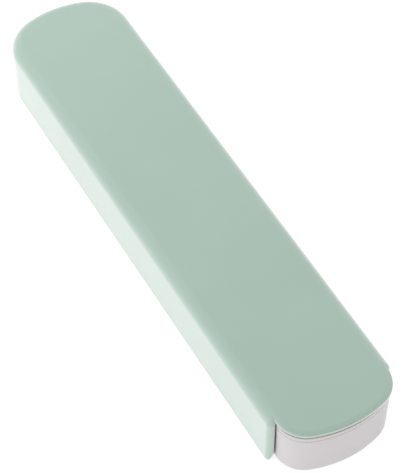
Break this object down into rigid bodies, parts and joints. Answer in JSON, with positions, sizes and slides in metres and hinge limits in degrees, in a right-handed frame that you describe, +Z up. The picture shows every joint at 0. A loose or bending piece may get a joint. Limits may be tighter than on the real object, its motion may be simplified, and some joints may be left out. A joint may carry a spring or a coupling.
{
  "type": "toothbrush sanitizer",
  "caption": "Long slim travel case with rounded ends: a mint cover slides off a white tray that holds a toothbrush, a sealed ultraviolet lamp, a cell and electronics.",
  "frame": {"origin": "on the resting surface, below the middle of the closed case's box", "axes": "+X along the case towards the pull end, +Y across, +Z up"},
  "size_m": [0.218, 0.047, 0.0241],
  "materials": {
    "cover_mint": "satin, fine moulded texture",
    "cover_mint_key": "satin",
    "shell_white": "satin off-white, fine moulded texture",
    "foot_rubber": "matte grey",
    "silicone": "milky, soft sheen",
    "screw_steel": "plain steel",
    "socket_steel": "plated",
    "nickel": "nickel plated",
    "bright_sheet": "bright reflector sheet",
    "board_green": "solder mask",
    "lamp_ceramic": "white ceramic",
    "clear_quartz": "clear",
    "clear_acrylic": "clear",
    "chip_black": "moulded black",
    "connector_white": "natural nylon",
    "cell_foil": "laminated foil",
    "foam_pad": "foam tape",
    "amber_film": "amber film",
    "lead_red": "insulated wire",
    "lead_black": "insulated wire"
  },
  "bodies": {
    "base": {"base_shell": "shell_white", "inner_deck": "shell_white", "handle_channel": "shell_white", "head_chamber": "shell_white", "rubber_feet": "foot_rubber", "deck_screws": "screw_steel", "board_screws": "screw_steel", "brush_rest_rear": "silicone", "brush_rest_front": "silicone", "lamp_board": "board_green", "lamp_packages": "lamp_ceramic", "lamp_lenses": "clear_quartz", "window_gasket": "foot_rubber", "lamp_window": "clear_quartz", "head_reflector": "bright_sheet", "main_board": "board_green", "usb_shell": "socket_steel", "usb_tongue": "chip_black", "board_chips": "chip_black", "boost_inductor": "chip_black", "cell_connector": "connector_white", "battery_cell": "cell_foil", "cell_pad": "foam_pad", "cell_protector": "amber_film", "cell_lead_red": "lead_red", "cell_lead_black": "lead_black", "lamp_lead_red": "lead_red", "lamp_lead_black": "lead_black", "button_leads": "lead_black", "button_board": "board_green", "switch_body": "chip_black", "status_led": "lamp_ceramic", "light_pipe": "clear_acrylic", "reed_switch": "clear_quartz", "reed_leads": "lead_black"},
    "cover": {"slide_cover": "cover_mint", "mirror_plate": "bright_sheet", "cover_magnet": "nickel"},
    "button": {"power_button": "cover_mint_key", "switch_plunger": "connector_white"}
  },
  "joints": [
    {"name": "cover_slide", "type": "slide", "parent": "base", "child": "cover", "axis": [-1, 0, 0], "range_m": [0, 0.165]},
    {"name": "button_press", "type": "slide", "parent": "base", "child": "button", "axis": [0, 0, -1], "range_m": [0, 0.0005], "stiffness_N_per_m": 2500, "springref_m": -0.0004}
  ]
}
